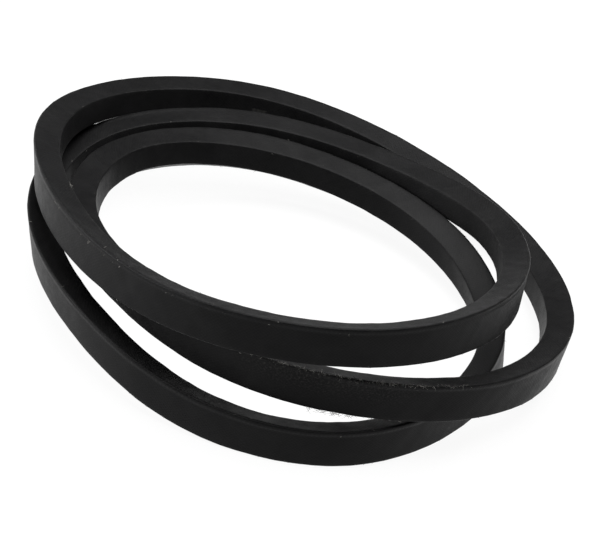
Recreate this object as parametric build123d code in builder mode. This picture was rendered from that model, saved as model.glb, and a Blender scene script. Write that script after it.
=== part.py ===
from build123d import *

import math
import os

os.makedirs("parts", exist_ok=True)

# Wrapped classical A-section V belt, 13 mm wide over the back and 8 mm thick, lying in a
# loose coil of three turns.  Millimetres, +Z up, the coil rests on the plane Z = 0.

# Belt section: x runs from the base to the back of the belt, y across its width.
top_width = 13.0
thickness = 8.0
wedge_angle = 40.0
corner_chamfer = 0.5
ply_thickness = 0.4
bond_gap = 0.04
seam_gap = 0.12
seam_offset = 1.5
cord_diameter = 0.9
cord_sides = 8
cord_pitch = 1.1
cord_count = 8
cord_line = 1.7
cushion_depth = 0.75

# Route of the section centre, clockwise from the left when seen from above.  Ten stations
# to a turn, each one radius from the coil axis, height above the floor and lean in degrees
# (positive leans the back of the belt upwards).
first_turn = (
    (80, 33.5, -5),
    (95, 25, -19),
    (96, 18.5, -17),
    (89, 11, -12),
    (84, 7, -7),
    (79.5, 11, -6),
    (73.5, 18, -2),
    (66.5, 23, 0),
    (61.5, 24.5, -2),
    (61.5, 26, -6),
)
second_turn = (
    (68, 23, -13),
    (72.5, 19.5, -20),
    (67.5, 16, -12),
    (62, 12, -12),
    (59, 10, 1),
    (61, 6.5, 9),
    (63.5, 6.5, 2),
    (69.5, 7, -3),
    (69.5, 8, -4),
    (72.5, 15, -9),
)
third_turn = (
    (80, 17, -13),
    (85.5, 17, -26),
    (79, 17.5, -17),
    (72.5, 16, -15),
    (67, 22, -5),
    (62.5, 30, -1),
    (64.5, 37.5, 5),
    (69.5, 42, 3),
    (70.5, 40.5, 0),
    (70.5, 36, 1),
)
stations = first_turn + second_turn + third_turn
stations_per_turn = 10
start_station = 2
coil_axis = (2.15, -12.27)
floor_offset = -0.18
section_count = 120
guide_reach = 5.0

slope = math.tan(math.radians(wedge_angle / 2))
back = thickness / 2
base = -thickness / 2
inside = 2 * (ply_thickness + bond_gap)


def station_point(index, reach):
    """A point of the route, or a point beyond it across the width of the belt."""
    radius, height, lean = stations[index]
    bearing = math.pi - 2 * math.pi * index / stations_per_turn
    leaned = radius - reach * math.sin(math.radians(lean))
    raised = height + floor_offset + reach * math.cos(math.radians(lean))
    return (
        coil_axis[0] + leaned * math.cos(bearing),
        coil_axis[1] + leaned * math.sin(bearing),
        raised,
    )


# Both closed curves start at the third station, where the route is most even.
order = [(start_station + i) % len(stations) for i in range(len(stations))]
route = Spline([station_point(i, 0) for i in order], periodic=True)
guide = Spline([station_point(i, guide_reach) for i in order], periodic=True)


def section_plane(index):
    """The plane square to the route, x pointing out of the coil through the belt's back."""
    along = index / section_count
    tangent = route % along
    across = (guide @ along) - (route @ along)
    return Plane(origin=route @ along, x_dir=across.cross(tangent), z_dir=tangent)


section_planes = [section_plane(i) for i in range(section_count)]


def half_width(level, cover):
    """Half the width of the section at a level, inside a cover of the given thickness."""
    wall = cover / math.cos(math.radians(wedge_angle / 2))
    return top_width / 2 - (back - level) * slope - wall


def wedge(lower, upper, cover, mode=Mode.ADD):
    """The part of the section between two levels, inside a cover of the given thickness."""
    wide = half_width(upper, cover)
    narrow = half_width(lower, cover)
    corners = ((lower, -narrow), (upper, -wide), (upper, wide), (lower, narrow))
    return Polygon(*corners, align=None, mode=mode)


def run_round(profile):
    """Carry a section once round the closed route; the first section closes the loop."""
    with BuildPart() as piece:
        for plane in section_planes:
            with BuildSketch(plane):
                add(profile.sketch)
        rings = list(piece.pending_faces)
        loft(rings + rings[:1], clean=False)
    return piece


def finish_piece(piece, name):
    piece.part.label = name
    export_step(piece.part, f"parts/{name}.step")
    print(name, round(piece.part.volume), "mm3")


# Cover fabric: two wraps, each open along its own lap seam.
with BuildSketch() as outer_ply_section:
    wedge(base, back, 0)
    chamfer(outer_ply_section.vertices(), corner_chamfer)
    wedge(base + ply_thickness, back - ply_thickness, ply_thickness, Mode.SUBTRACT)
    with Locations((back, half_width(back, 0) - seam_offset)):
        Rectangle(4 * ply_thickness, seam_gap, mode=Mode.SUBTRACT)
outer_cover_ply = run_round(outer_ply_section)
finish_piece(outer_cover_ply, "outer_cover_ply")

ply_outside = ply_thickness + bond_gap
with BuildSketch() as inner_ply_section:
    wedge(base + ply_outside, back - ply_outside, ply_outside)
    wedge(
        base + ply_outside + ply_thickness,
        back - ply_outside - ply_thickness,
        ply_outside + ply_thickness,
        Mode.SUBTRACT,
    )
    with Locations((base + ply_outside, 0)):
        Rectangle(4 * ply_thickness, seam_gap, mode=Mode.SUBTRACT)
inner_cover_ply = run_round(inner_ply_section)
finish_piece(inner_cover_ply, "inner_cover_ply")

# Core rubber: the tension band above the cords and the compression band below them.
with BuildSketch() as tension_section:
    wedge(cord_line + cushion_depth + bond_gap, back - inside, inside)
tension_rubber = run_round(tension_section)
finish_piece(tension_rubber, "tension_rubber")

with BuildSketch() as compression_section:
    wedge(base + inside, cord_line - cushion_depth - bond_gap, inside)
compression_rubber = run_round(compression_section)
finish_piece(compression_rubber, "compression_rubber")

# Cushion gum: two layers that meet on the cord line, grooved for the cords.
groove_radius = cord_diameter / 2 + bond_gap
with BuildSketch() as outer_gum_section:
    wedge(cord_line + bond_gap / 2, cord_line + cushion_depth, inside)
    with Locations((cord_line, 0)):
        with GridLocations(0, cord_pitch, 1, cord_count):
            RegularPolygon(groove_radius, cord_sides, mode=Mode.SUBTRACT)
outer_cushion_gum = run_round(outer_gum_section)
finish_piece(outer_cushion_gum, "outer_cushion_gum")

with BuildSketch() as inner_gum_section:
    wedge(cord_line - cushion_depth, cord_line - bond_gap / 2, inside)
    with Locations((cord_line, 0)):
        with GridLocations(0, cord_pitch, 1, cord_count):
            RegularPolygon(groove_radius, cord_sides, mode=Mode.SUBTRACT)
inner_cushion_gum = run_round(inner_gum_section)
finish_piece(inner_cushion_gum, "inner_cushion_gum")

# Tension cord: eight passes side by side along the cord line.
for number in range(cord_count):
    with BuildSketch() as cord_section:
        with Locations((cord_line, (number - (cord_count - 1) / 2) * cord_pitch)):
            RegularPolygon(cord_diameter / 2, cord_sides)
    tension_cord = run_round(cord_section)
    finish_piece(tension_cord, f"tension_cord_{number + 1}")

print("belt length", round(route.length), "mm")
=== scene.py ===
import math

import bpy
import numpy as np
from mathutils import Matrix, Vector


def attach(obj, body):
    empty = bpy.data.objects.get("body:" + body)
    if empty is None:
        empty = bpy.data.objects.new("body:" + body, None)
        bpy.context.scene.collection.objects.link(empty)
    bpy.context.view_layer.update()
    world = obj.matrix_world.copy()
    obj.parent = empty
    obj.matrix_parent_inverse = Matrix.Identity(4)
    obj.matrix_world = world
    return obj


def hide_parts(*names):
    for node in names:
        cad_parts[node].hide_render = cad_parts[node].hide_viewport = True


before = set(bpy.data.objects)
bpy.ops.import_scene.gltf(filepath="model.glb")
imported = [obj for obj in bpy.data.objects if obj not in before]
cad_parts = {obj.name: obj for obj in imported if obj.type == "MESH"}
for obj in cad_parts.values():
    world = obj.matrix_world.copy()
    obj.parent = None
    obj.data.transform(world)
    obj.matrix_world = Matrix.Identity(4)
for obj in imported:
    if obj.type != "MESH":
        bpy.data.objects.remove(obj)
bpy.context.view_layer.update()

MM = 0.001
rng = np.random.default_rng(20)

# ---------------------------------------------------------------- route of the belt
# Ten stations to a turn, clockwise from the left seen from above.  Each is the radius from
# the coil axis and the height, in millimetres, and the lean in degrees, as in the CAD.
STATIONS = (
    (80, 33.5, -5), (95, 25, -19), (96, 18.5, -17), (89, 11, -12), (84, 7, -7),
    (79.5, 11, -6), (73.5, 18, -2), (66.5, 23, 0), (61.5, 24.5, -2), (61.5, 26, -6),
    (68, 23, -13), (72.5, 19.5, -20), (67.5, 16, -12), (62, 12, -12), (59, 10, 1),
    (61, 6.5, 9), (63.5, 6.5, 2), (69.5, 7, -3), (69.5, 8, -4), (72.5, 15, -9),
    (80, 17, -13), (85.5, 17, -26), (79, 17.5, -17), (72.5, 16, -15), (67, 22, -5),
    (62.5, 30, -1), (64.5, 37.5, 5), (69.5, 42, 3), (70.5, 40.5, 0), (70.5, 36, 1),
)
PER_TURN = 10
COIL_AXIS = (2.15, -12.27)
FLOOR_OFFSET = -0.18
GUIDE_REACH = 5.0
SPLINE_STEPS = 200
TANGENT_STEP = 1e-4


def station_point(index, reach):
    """A point of the route, or a point beyond it across the width of the belt."""
    radius, height, lean = STATIONS[index]
    bearing = math.pi - 2 * math.pi * index / PER_TURN
    leaned = radius - reach * math.sin(math.radians(lean))
    return (
        COIL_AXIS[0] + leaned * math.cos(bearing),
        COIL_AXIS[1] + leaned * math.sin(bearing),
        height + FLOOR_OFFSET + reach * math.cos(math.radians(lean)),
    )


class ClosedSpline:
    """Closed cubic spline through points, spaced by chord length, read by arc length."""

    def __init__(self, points):
        p = np.array(points, float)
        n = len(p)
        h = np.linalg.norm(np.roll(p, -1, 0) - p, axis=1)
        before = np.roll(h, 1)
        system = np.zeros((n, n))
        for i in range(n):
            system[i, i - 1] += before[i]
            system[i, i] += 2 * (before[i] + h[i])
            system[i, (i + 1) % n] += h[i]
        ahead = (np.roll(p, -1, 0) - p) / h[:, None]
        behind = (p - np.roll(p, 1, 0)) / before[:, None]
        self.p, self.h, self.n = p, h, n
        self.m = np.linalg.solve(system, 6 * (ahead - behind))
        span = np.repeat(np.arange(n), SPLINE_STEPS)
        part = np.tile(np.arange(SPLINE_STEPS) / SPLINE_STEPS, n)
        xyz = self._at(span, part)
        step = np.linalg.norm(np.roll(xyz, -1, 0) - xyz, axis=1)
        self.run = np.concatenate([[0], np.cumsum(step)])
        self.spot = np.concatenate([span + part, [n]])
        self.length = self.run[-1]

    def _at(self, span, part):
        h = self.h[span][:, None]
        a = (1 - part)[:, None]
        b = part[:, None]
        after = (span + 1) % self.n
        return (
            a * self.p[span]
            + b * self.p[after]
            + ((a ** 3 - a) * self.m[span] + (b ** 3 - b) * self.m[after]) * h ** 2 / 6
        )

    def at(self, fraction):
        fraction = np.atleast_1d(np.asarray(fraction, float)) % 1.0
        where = np.interp(fraction * self.length, self.run, self.spot)
        span = np.minimum(where.astype(int), self.n - 1)
        return self._at(span, where - span)


ROUTE = ClosedSpline([station_point(i, 0) for i in range(len(STATIONS))])
GUIDE = ClosedSpline([station_point(i, GUIDE_REACH) for i in range(len(STATIONS))])
LENGTH = ROUTE.length


def unit(v):
    """The same direction, or directions, at length 1."""
    return v / np.linalg.norm(v, axis=-1, keepdims=True)


def belt_frame(fraction):
    """Centre, tangent, outward and across directions of the belt's section."""
    centre = ROUTE.at(fraction)
    ahead = ROUTE.at(np.asarray(fraction) + TANGENT_STEP)
    behind = ROUTE.at(np.asarray(fraction) - TANGENT_STEP)
    tangent = unit(ahead - behind)
    outward = unit(np.cross(GUIDE.at(fraction) - centre, tangent))
    across = np.cross(tangent, outward)
    return centre, tangent, outward, across


# ---------------------------------------------------------------- section of the cover
TOP_WIDTH = 13.0
THICKNESS = 8.0
WEDGE_ANGLE = 40.0
BACK = THICKNESS / 2
BASE = -THICKNESS / 2
BACK_RADIUS = 0.45
BASE_RADIUS = 0.4
CORNER_STEPS = 4
SIDE_STEP = 0.85
SEAM_AT = TOP_WIDTH / 2 - 1.5
LAP_EDGE = 0.12
SLOPE = math.tan(math.radians(WEDGE_ANGLE / 2))


def wedge_half(level):
    """Half the width of the section at a height above the middle of the belt."""
    return TOP_WIDTH / 2 - (BACK - level) * SLOPE


def rounded_section():
    """Points (outward, across) round the section, from just past the lap's edge on the back."""
    corners = [
        (BACK, wedge_half(BACK), BACK_RADIUS),
        (BASE, wedge_half(BASE), BASE_RADIUS),
        (BASE, -wedge_half(BASE), BASE_RADIUS),
        (BACK, -wedge_half(BACK), BACK_RADIUS),
    ]
    pts = []
    count = len(corners)
    for k in range(count):
        here = np.array(corners[k][:2])
        before = np.array(corners[k - 1][:2])
        after = np.array(corners[(k + 1) % count][:2])
        u, v = unit(before - here), unit(after - here)
        half = math.acos(float(np.clip(u @ v, -1, 1))) / 2
        r = corners[k][2]
        centre = here + unit(u + v) * r / math.sin(half)
        start = here + u * r / math.tan(half) - centre
        end = here + v * r / math.tan(half) - centre
        a0 = math.atan2(start[1], start[0])
        a1 = math.atan2(end[1], end[0])
        turn = (a1 - a0 + math.pi) % (2 * math.pi) - math.pi
        for j in range(CORNER_STEPS + 1):
            a = a0 + turn * j / CORNER_STEPS
            pts.append(centre + r * np.array([math.cos(a), math.sin(a)]))
    return np.vstack([[BACK, SEAM_AT + LAP_EDGE / 2], pts, [BACK, SEAM_AT - LAP_EDGE / 2]])


def fill_runs(points, longest):
    """Split the long straight sides so that no step is longer than the given one."""
    out = []
    for i, p in enumerate(points):
        q = points[(i + 1) % len(points)]
        parts = max(1, math.ceil(np.linalg.norm(q - p) / longest))
        for j in range(parts):
            out.append(p + (q - p) * j / parts)
    return np.array(out)


section = fill_runs(rounded_section(), SIDE_STEP)
side_steps = np.linalg.norm(np.roll(section, -1, 0) - section, axis=1)
around = np.concatenate([[0], np.cumsum(side_steps)])
GIRTH = around[-1]
side_ahead = np.roll(section, -1, 0) - np.roll(section, 1, 0)
section_normal = unit(np.stack([side_ahead[:, 1], -side_ahead[:, 0]], 1))
section_normal *= np.sign((section_normal * section).sum())


def smooth_noise(count, knots, amplitude):
    """Closed smooth random wave."""
    values = rng.normal(0, amplitude, knots)
    x = np.arange(count) / count * knots
    i = x.astype(int)
    t = x - i
    t = t * t * (3 - 2 * t)
    return values[i % knots] * (1 - t) + values[(i + 1) % knots] * t


RINGS = 1600
STEPS = len(section)
# Stretches of the belt, as fractions of its length from station 0: where the lap stands up
# most, where the third turn passes under the first, and where the face is scuffed.
MAIN_LAP = (0.955, 0.996)
UNDERPASS = (0.67, 0.74)
WORN = (0.256, 0.302)
# How far the cloth stands off the plain section, and how wide each feature is.
RIDGES = 132
RIDGE_HEIGHT = 0.035
WAVE_HEIGHT = 0.05
RIPPLE_HEIGHT = 0.03
LAP_WIDTH = 5.5
LAP_LIFT = 0.04
LAP_SWAY = 0.03
MAIN_LAP_LIFT = 0.16
GROOVE_WIDTH = 0.5
GROOVE_DEPTH = 0.03
MAIN_GROOVE_DEPTH = 0.12
SWELLING_HEIGHT = 0.32
SWELLING_WIDTH = 0.9
SWELLING_FADE = 0.02
# How the rubber skin is rubbed off, along the corners and on the scuffed face.
EDGE_WEAR = 0.35
EDGE_WEAR_WIDTH = 0.8
SCUFF_WIDTH = 6.0
SCUFF_FADE = 0.012
SCUFF_DEPTH = 0.3


def along(fractions, start, end, fade=0.006):
    """1 on one stretch of the belt, fading to 0 at its two ends."""
    rise = np.clip((fractions - start) / fade, 0, 1)
    fall = np.clip((end - fractions) / fade, 0, 1)
    return rise * fall


def cloth_height(fractions):
    """How far the cloth stands off the plain section, in mm, for each ring and step."""
    u = fractions[:, None] * LENGTH
    v = around[:-1][None, :]
    turn = v / GIRTH * 2 * math.pi
    height = smooth_noise(RINGS, 170, WAVE_HEIGHT)[:, None] * np.cos(2 * turn)
    height = height + smooth_noise(RINGS, 430, RIPPLE_HEIGHT)[:, None] * np.sin(3 * turn)
    # faint slanting ridges left by the wrapping that held the belt while it was cured
    ridge = np.sin(2 * math.pi * (u * RIDGES / LENGTH + 2 * v / GIRTH))
    height = height + RIDGE_HEIGHT * np.maximum(ridge, 0) ** 3
    # the lap: its free edge stands up at the seam and the cloth thins out towards the flank
    lift = LAP_LIFT + np.abs(smooth_noise(RINGS, 90, LAP_SWAY))
    lift = lift + MAIN_LAP_LIFT * along(fractions, *MAIN_LAP)
    height = height + lift[:, None] * np.clip(1 - v / LAP_WIDTH, 0, 1) ** 2
    # an added swelling of the top corner, which narrows the gap under the first turn
    corner = TOP_WIDTH / 2 - SEAM_AT
    swelling = SWELLING_HEIGHT * along(fractions, *UNDERPASS, SWELLING_FADE)
    height = height + swelling[:, None] * np.exp(-((v - corner) / SWELLING_WIDTH) ** 2)
    groove = GROOVE_DEPTH + MAIN_GROOVE_DEPTH * along(fractions, *MAIN_LAP)
    return height - groove[:, None] * np.exp(-((GIRTH - v) / GROOVE_WIDTH) ** 2)


def cloth_wear(fractions):
    """0 to 1, how far the rubber skin is rubbed off, for each ring and step."""
    corners = [(n, side * wedge_half(n)) for n in (BACK, BASE) for side in (-1, 1)]
    off = np.min([np.linalg.norm(section - np.array(corner), axis=1) for corner in corners], axis=0)
    near_corner = np.exp(-((off / EDGE_WEAR_WIDTH) ** 2))[None, :]
    edge = np.abs(smooth_noise(RINGS, 500, EDGE_WEAR))[:, None] * near_corner
    from_top = wedge_half(BACK) - section[:, 1]
    on_back = section[:, 0] > BACK - SCUFF_DEPTH
    scuff = np.where(on_back, np.exp(-((from_top / SCUFF_WIDTH) ** 2)), 0.0)
    patch = along(fractions, *WORN, SCUFF_FADE)[:, None] * scuff[None, :]
    return np.clip(edge + patch, 0, 1)


def tube_mesh(name, rows, columns, verts):
    """A mesh that closes both ways from a grid of points."""
    ring = np.repeat(np.arange(rows), columns)
    step = np.tile(np.arange(columns), rows)
    after = (ring + 1) % rows
    beside = (step + 1) % columns
    here = ring * columns
    next_ring = after * columns
    quads = np.stack([here + step, here + beside, next_ring + beside, next_ring + step], 1)
    mesh = bpy.data.meshes.new(name)
    mesh.from_pydata(verts.tolist(), [], quads.tolist())
    return mesh, ring, step


def make_cover():
    """The visible cloth: the section carried round the route, standing off by its height."""
    fractions = np.arange(RINGS) / RINGS
    centre, _, outward, across = belt_frame(fractions)
    height = cloth_height(fractions)
    n = section[None, :, 0] + height * section_normal[None, :, 0]
    b = section[None, :, 1] + height * section_normal[None, :, 1]
    xyz = centre[:, None, :] + n[..., None] * outward[:, None, :]
    xyz = xyz + b[..., None] * across[:, None, :]
    mesh, ring, step = tube_mesh("belt_cover", RINGS, STEPS, (xyz * MM).reshape(-1, 3))
    # UV in metres: u along the belt, v round the section from the seam
    uv = mesh.uv_layers.new(name="cloth")
    u0 = ring / RINGS * LENGTH
    u1 = (ring + 1) / RINGS * LENGTH
    v0 = around[step]
    v1 = around[step + 1]
    corners = [np.stack(pair, 1) for pair in ((u0, v0), (u0, v1), (u1, v1), (u1, v0))]
    flat = (np.stack(corners, 1) * MM).reshape(-1).astype(np.float32)
    uv.data.foreach_set("uv", flat)
    wear = mesh.attributes.new("wear", "FLOAT", "POINT")
    wear.data.foreach_set("value", cloth_wear(fractions).reshape(-1).astype(np.float32))
    mesh.polygons.foreach_set("use_smooth", np.ones(len(mesh.polygons), bool))
    mesh.update()
    return mesh


cover = bpy.data.objects.new("belt_cover", make_cover())
bpy.context.scene.collection.objects.link(cover)

# ---------------------------------------------------------------- loose fibres
# Each group: start and end on the belt, section point (outward, across), spread round it,
# how many fibres, their shortest and longest length, and how far they stand up (0 is flat).
OUTER_UP = (BACK - 0.25, wedge_half(BACK) - 0.25)
OUTER_DOWN = (BACK - 0.25, -wedge_half(BACK) + 0.25)
INNER_UP = (BASE + 0.2, wedge_half(BASE) - 0.2)
INNER_DOWN = (BASE + 0.2, -wedge_half(BASE) + 0.2)
LAP = (BACK, SEAM_AT)
FIBRES = (
    (0.250, 0.296, OUTER_UP, 0.9, 210, 0.3, 1.0, 0.15),
    (0.262, 0.290, OUTER_UP, 0.5, 70, 0.4, 1.2, 0.35),
    (0.272, 0.282, OUTER_DOWN, 0.5, 44, 0.8, 2.4, 0.8),
    (0.262, 0.273, OUTER_DOWN, 0.4, 16, 0.4, 1.2, 0.5),
    (0.300, 0.330, OUTER_UP, 0.5, 26, 0.3, 0.8, 0.2),
    (0.982, 0.984, LAP, 0.3, 18, 0.5, 1.4, 0.6),
    (0.989, 0.991, INNER_UP, 0.3, 16, 0.5, 1.4, 0.6),
    (0.475, 0.488, OUTER_UP, 0.3, 22, 0.3, 0.9, 0.5),
    (0.955, 0.996, LAP, 0.2, 30, 0.3, 0.9, 0.1),
    (0.0, 1.0, LAP, 0.3, 90, 0.3, 1.0, 0.15),
    (0.0, 1.0, OUTER_UP, 0.4, 80, 0.3, 0.9, 0.2),
    (0.0, 1.0, OUTER_DOWN, 0.4, 80, 0.3, 0.9, 0.2),
    (0.0, 1.0, INNER_UP, 0.4, 60, 0.3, 0.8, 0.2),
    (0.0, 1.0, INNER_DOWN, 0.4, 60, 0.3, 0.8, 0.2),
)
FIBRE_SIDES = 4
FIBRE_RINGS = 5
FIBRE_RADIUS = (0.035, 0.065)
FIBRE_TAPER = 0.6
FIBRE_CLEARANCE = 0.03
FIBRE_CURL = 0.5
FIBRE_SPREAD = (0.15, 1.0)
FIBRE_STAND = (0.2, 1.0)
FIBRE_SHORTENING = 0.3
# A direction that no fibre runs along exactly, to start its cross-section from.
ANY_SIDE = (0.31, 0.17, 0.94)


def fibre_path(fraction, spot, spread, long, stand):
    """A short curved path that starts on the cloth and lies along it or stands off it."""
    centre, tangent, outward, across = (part[0] for part in belt_frame(fraction))
    spot = np.array(spot) + rng.normal(0, spread / 3, 2) * np.array(FIBRE_SPREAD)
    spot[0] = min(spot[0], BACK)
    facing = unit(spot)
    normal = facing[0] * outward + facing[1] * across
    start = centre + spot[0] * outward + spot[1] * across
    heading = rng.uniform(0, 2 * math.pi)
    beside = np.cross(normal, tangent)
    flat = math.cos(heading) * tangent + math.sin(heading) * beside
    rise = stand * rng.uniform(*FIBRE_STAND)
    curl = rng.normal(0, FIBRE_CURL)
    path = []
    for k in range(FIBRE_RINGS):
        t = k / (FIBRE_RINGS - 1)
        bend = curl * t * t
        path.append(
            start
            + normal * (FIBRE_CLEARANCE + long * rise * t)
            + flat * long * t * (1 - FIBRE_SHORTENING * rise)
            + np.cross(normal, flat) * long * bend
        )
    return np.array(path)


def make_fibres():
    """All the loose fibres as one mesh of thin closed rods that taper to their tips."""
    verts = []
    faces = []
    for start, end, spot, spread, count, shortest, longest, stand in FIBRES:
        for _ in range(count):
            fraction = rng.uniform(start, end)
            path = fibre_path(fraction, spot, spread, rng.uniform(shortest, longest), stand)
            thick = rng.uniform(*FIBRE_RADIUS)
            first = len(verts)
            for k, p in enumerate(path):
                ahead = unit(path[min(k + 1, FIBRE_RINGS - 1)] - path[max(k - 1, 0)])
                side = unit(np.cross(ahead, ANY_SIDE))
                other = np.cross(ahead, side)
                r = thick * (1 - FIBRE_TAPER * k / (FIBRE_RINGS - 1))
                for j in range(FIBRE_SIDES):
                    a = 2 * math.pi * j / FIBRE_SIDES
                    verts.append((p + r * (math.cos(a) * side + math.sin(a) * other)) * MM)
            for k in range(FIBRE_RINGS - 1):
                for j in range(FIBRE_SIDES):
                    a = first + k * FIBRE_SIDES + j
                    b = first + k * FIBRE_SIDES + (j + 1) % FIBRE_SIDES
                    faces.append((a, b, b + FIBRE_SIDES, a + FIBRE_SIDES))
            faces.append(tuple(first + j for j in reversed(range(FIBRE_SIDES))))
            last = first + (FIBRE_RINGS - 1) * FIBRE_SIDES
            faces.append(tuple(last + j for j in range(FIBRE_SIDES)))
    mesh = bpy.data.meshes.new("belt_fibres")
    mesh.from_pydata([tuple(v) for v in verts], [], faces)
    mesh.update()
    return mesh


fibres = bpy.data.objects.new("belt_fibres", make_fibres())
bpy.context.scene.collection.objects.link(fibres)


# ---------------------------------------------------------------- materials
class Nodes:
    """Short ways to add and join shader nodes."""

    def __init__(self, name):
        self.mat = bpy.data.materials.new(name)
        self.mat.use_nodes = True
        self.tree = self.mat.node_tree
        self.bsdf = self.tree.nodes["Principled BSDF"]

    def add(self, kind, **sockets):
        node = self.tree.nodes.new(kind)
        for key, value in sockets.items():
            self.put(node.inputs[key.replace("_", " ")], value)
        return node

    def put(self, socket, value):
        if isinstance(value, bpy.types.NodeSocket):
            self.tree.links.new(value, socket)
        else:
            socket.default_value = value

    def noise(self, vector, scale, detail=4.0, roughness=0.6):
        node = self.add("ShaderNodeTexNoise", Vector=vector, Scale=scale, Detail=detail)
        self.put(node.inputs["Roughness"], roughness)
        return node.outputs["Fac"]

    def bands(self, vector, turn, pitch):
        """Even ridges across a direction, one every pitch metres."""
        spin = self.add("ShaderNodeMapping", Vector=vector, Rotation=(0, 0, turn))
        wave = self.add("ShaderNodeTexWave", Vector=spin.outputs[0], Scale=math.pi / 10 / pitch)
        self.put(wave.inputs["Distortion"], 2.2)
        self.put(wave.inputs["Detail"], 2.0)
        return wave.outputs["Fac"]

    def math(self, operation, a, b):
        node = self.tree.nodes.new("ShaderNodeMath")
        node.operation = operation
        self.put(node.inputs[0], a)
        self.put(node.inputs[1], b)
        return node.outputs[0]

    def span(self, value, low, high, from_low=0.0, from_high=1.0):
        node = self.add("ShaderNodeMapRange", Value=value)
        self.put(node.inputs["From Min"], from_low)
        self.put(node.inputs["From Max"], from_high)
        self.put(node.inputs["To Min"], low)
        self.put(node.inputs["To Max"], high)
        return node.outputs[0]

    def blend(self, factor, dark, light):
        node = self.tree.nodes.new("ShaderNodeMix")
        node.data_type = "RGBA"
        self.put(node.inputs["Factor"], factor)
        for key, colour in (("A", dark), ("B", light)):
            linked = isinstance(colour, bpy.types.NodeSocket)
            self.put(node.inputs[key], colour if linked else (*colour, 1))
        return node.outputs["Result"]

    def bump(self, height, distance, strength=1.0, normal=None):
        node = self.add("ShaderNodeBump", Height=height, Distance=distance, Strength=strength)
        if normal is not None:
            self.put(node.inputs["Normal"], normal)
        return node.outputs["Normal"]

    def finish(self, colour, roughness, normal, specular, sheen=0.0):
        self.put(self.bsdf.inputs["Base Color"], colour)
        self.put(self.bsdf.inputs["Roughness"], roughness)
        self.put(self.bsdf.inputs["Normal"], normal)
        self.bsdf.inputs["Specular IOR Level"].default_value = specular
        self.bsdf.inputs["Sheen Weight"].default_value = sheen
        return self.mat


# Shader lengths are in metres.
THREAD_PITCH = 0.0008
BIAS = math.radians(50)
CORD_TWIST = math.radians(35)
CORD_LAY = 0.0009
CLOTH_DARK = (0.0025, 0.0025, 0.0027)
CLOTH_LIGHT = (0.0130, 0.0128, 0.0130)
CLOTH_RUBBED = (0.040, 0.039, 0.037)
CLOTH_SPECULAR = 0.06


def cloth_material():
    """Cotton and polyester cloth, cut on the bias and soaked with black rubber."""
    n = Nodes("rubbered_cloth")
    uv = n.tree.nodes.new("ShaderNodeUVMap")
    uv.uv_map = "cloth"
    place = uv.outputs[0]
    warp = n.bands(place, BIAS, THREAD_PITCH)
    weft = n.bands(place, -BIAS, THREAD_PITCH)
    weave = n.math("ADD", n.math("MULTIPLY", warp, 0.5), n.math("MULTIPLY", weft, 0.5))
    patches = n.noise(place, 55.0)
    streaks = n.noise(place, 400.0, 5.0, 0.7)
    grain = n.noise(place, 2600.0, 3.0, 0.7)
    blotches = n.span(patches, 0.0, 1.0, from_low=0.35, from_high=0.7)
    dust = n.span(n.math("MULTIPLY", blotches, grain), 0.0, 1.0, from_low=0.1, from_high=0.55)
    shade = n.math("ADD", n.math("MULTIPLY", weave, 0.3), n.math("MULTIPLY", streaks, 0.4))
    shade = n.math("ADD", shade, n.math("MULTIPLY", dust, 0.3))
    colour = n.blend(shade, CLOTH_DARK, CLOTH_LIGHT)
    # rubbed skin shows the cotton in specks
    wear = n.tree.nodes.new("ShaderNodeAttribute")
    wear.attribute_name = "wear"
    specks = n.span(n.noise(place, 1500.0, 4.0, 0.75), 0.0, 1.0, from_low=0.5, from_high=0.72)
    rubbed = n.math("MULTIPLY", wear.outputs["Fac"], specks)
    colour = n.blend(rubbed, colour, CLOTH_RUBBED)
    uneven_gloss = n.math("ADD", streaks, n.math("MULTIPLY", grain, 0.5))
    roughness = n.span(uneven_gloss, 0.34, 0.50, from_low=0.5, from_high=1.0)
    threads = n.bump(weave, 0.00004, 0.6)
    uneven = n.bump(streaks, 0.00008, 0.5, threads)
    lint = n.bump(grain, 0.00005, 0.7, uneven)
    return n.finish(colour, roughness, lint, CLOTH_SPECULAR)


def rubber_material(name, dark, light, scale):
    """Solid rubber with carbon mottling and a slightly torn skin."""
    n = Nodes(name)
    place = n.tree.nodes.new("ShaderNodeTexCoord").outputs["Object"]
    mottle = n.noise(place, scale)
    grit = n.noise(place, scale * 14, 3.0, 0.7)
    colour = n.blend(mottle, dark, light)
    return n.finish(colour, n.span(grit, 0.55, 0.8), n.bump(grit, 0.00005, 0.6), 0.3)


def ply_material(name, dark, light):
    """The same bias cloth where it is never seen, laid in the part's own space."""
    n = Nodes(name)
    place = n.tree.nodes.new("ShaderNodeTexCoord").outputs["Object"]
    warp = n.bands(place, BIAS, THREAD_PITCH)
    weft = n.bands(place, -BIAS, THREAD_PITCH)
    weave = n.math("ADD", n.math("MULTIPLY", warp, 0.5), n.math("MULTIPLY", weft, 0.5))
    mottle = n.noise(place, 300.0)
    colour = n.blend(n.math("MULTIPLY", weave, mottle), dark, light)
    return n.finish(colour, n.span(mottle, 0.6, 0.85), n.bump(weave, 0.00006, 0.7), 0.2)


def cord_material():
    """Twisted polyester cord, dipped so that it holds the rubber."""
    n = Nodes("polyester_cord")
    place = n.tree.nodes.new("ShaderNodeTexCoord").outputs["Object"]
    twist = n.bands(place, CORD_TWIST, CORD_LAY)
    fuzz = n.noise(place, 3000.0, 3.0, 0.7)
    stain = n.noise(place, 80.0)
    tone = n.math("ADD", n.math("MULTIPLY", twist, 0.6), n.math("MULTIPLY", stain, 0.4))
    colour = n.blend(tone, (0.42, 0.34, 0.24), (0.75, 0.70, 0.58))
    return n.finish(colour, n.span(fuzz, 0.6, 0.9), n.bump(twist, 0.0001, 0.8), 0.3, 0.2)


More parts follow.
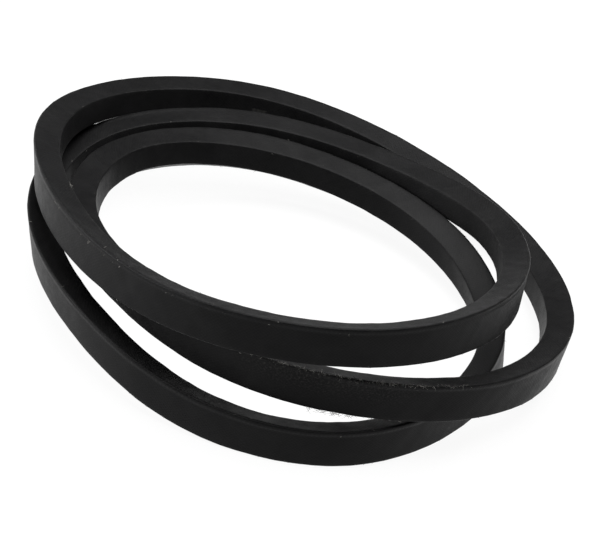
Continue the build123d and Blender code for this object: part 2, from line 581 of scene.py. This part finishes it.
def fibre_material():
    """Cut cotton and polyester ends, pale where the rubber has not reached them."""
    n = Nodes("loose_fibre")
    place = n.tree.nodes.new("ShaderNodeTexCoord").outputs["Object"]
    tint = n.noise(place, 700.0, 2.0)
    fuzz = n.noise(place, 9000.0, 2.0)
    pale = n.span(tint, 0.0, 1.0, from_low=0.35, from_high=0.65)
    colour = n.blend(pale, (0.02, 0.02, 0.02), (0.30, 0.29, 0.27))
    return n.finish(colour, n.span(fuzz, 0.75, 0.95), n.bump(fuzz, 0.00001, 0.5), 0.2, 0.1)


cover.data.materials.append(cloth_material())
fibres.data.materials.append(fibre_material())
for piece in (cover, fibres):
    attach(piece, "root")
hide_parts("outer_cover_ply")

# The CAD nodes keep their shapes and get the materials of the real pieces.
PLY = ply_material("ply_cloth", (0.010, 0.010, 0.010), (0.035, 0.033, 0.030))
GUM = rubber_material("cushion_gum", (0.016, 0.015, 0.014), (0.045, 0.040, 0.034), 250.0)
TENSION = rubber_material("tension_rubber", (0.012, 0.012, 0.012), (0.028, 0.028, 0.028), 180.0)
COMPRESSION = rubber_material("base_rubber", (0.01, 0.01, 0.01), (0.026, 0.026, 0.026), 120.0)
CORE = {
    "outer_cover_ply": PLY,
    "inner_cover_ply": PLY,
    "tension_rubber": TENSION,
    "compression_rubber": COMPRESSION,
    "outer_cushion_gum": GUM,
    "inner_cushion_gum": GUM,
}
CORD = cord_material()
for name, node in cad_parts.items():
    node.data.materials.clear()
    node.data.materials.append(CORE.get(name, CORD))

# ---------------------------------------------------------------- floor, light and camera
FLOOR_HALF = 4.0
CORNER_SIGNS = ((-1, -1), (1, -1), (1, 1), (-1, 1))
FLOOR_CORNERS = [(x * FLOOR_HALF, y * FLOOR_HALF, 0) for x, y in CORNER_SIGNS]


def floor_material():
    """A dull sheet that gives off even white light, so that it shows white under the lamps."""
    n = Nodes("floor_white")
    n.put(n.bsdf.inputs["Base Color"], (0.08, 0.08, 0.08, 1))
    n.put(n.bsdf.inputs["Roughness"], 1.0)
    n.put(n.bsdf.inputs["Specular IOR Level"], 0.0)
    n.put(n.bsdf.inputs["Emission Color"], (1, 1, 1, 1))
    n.put(n.bsdf.inputs["Emission Strength"], 0.93)
    return n.mat


floor_mesh = bpy.data.meshes.new("floor")
floor_mesh.from_pydata(FLOOR_CORNERS, [], [(0, 1, 2, 3)])
floor_mesh.materials.append(floor_material())
floor = bpy.data.objects.new("floor", floor_mesh)
bpy.context.scene.collection.objects.link(floor)

world = bpy.data.worlds.new("studio")
bpy.context.scene.world = world
world.use_nodes = True
background = world.node_tree.nodes["Background"]
background.inputs["Color"].default_value = (1, 1, 1, 1)
background.inputs["Strength"].default_value = 0.03


LIGHT_TARGET = (0, 0, 0.02)


def softbox(name, place, size, radiance):
    """A rectangular area light that faces the middle of the coil."""
    light = bpy.data.lights.new(name, "AREA")
    light.shape = "RECTANGLE"
    light.size, light.size_y = size
    light.energy = radiance * math.pi * size[0] * size[1]
    lamp = bpy.data.objects.new(name, light)
    bpy.context.scene.collection.objects.link(lamp)
    lamp.location = place
    facing = Vector(LIGHT_TARGET) - Vector(place)
    lamp.rotation_euler = facing.to_track_quat("-Z", "Y").to_euler()


softbox("top_light", (0.0, 0.2, 1.0), (1.2, 1.2), 5.9)
softbox("left_window", (-1.0, -0.1, 0.15), (0.6, 0.3), 11.0)
softbox("left_front", (-1.0, -0.35, 0.25), (0.6, 0.4), 6.0)
softbox("left_back", (-0.8, 0.9, 0.5), (0.8, 0.8), 1.0)

ELEVATION = math.radians(33.14)
ROLL = math.radians(11.58)
DISTANCE = 0.887
LENS = 175.44
SENSOR_WIDTH = 36
aim = Vector((2.11, -12.39, 14.82)) * MM
forward = Vector((0, math.cos(ELEVATION), -math.sin(ELEVATION)))
up = Vector((0, math.sin(ELEVATION), math.cos(ELEVATION)))
right = Vector((1, 0, 0))
cam_right = math.cos(ROLL) * right + math.sin(ROLL) * up
cam_up = -math.sin(ROLL) * right + math.cos(ROLL) * up
camera = bpy.data.objects.new("camera", bpy.data.cameras.new("camera"))
bpy.context.scene.collection.objects.link(camera)
camera.data.sensor_fit = "HORIZONTAL"
camera.data.sensor_width = SENSOR_WIDTH
camera.data.lens = LENS
basis = Matrix((cam_right, cam_up, -forward)).transposed()
camera.matrix_world = Matrix.Translation(aim - DISTANCE * forward) @ basis.to_4x4()
bpy.context.scene.camera = camera
bpy.context.scene.view_settings.view_transform = "Standard"
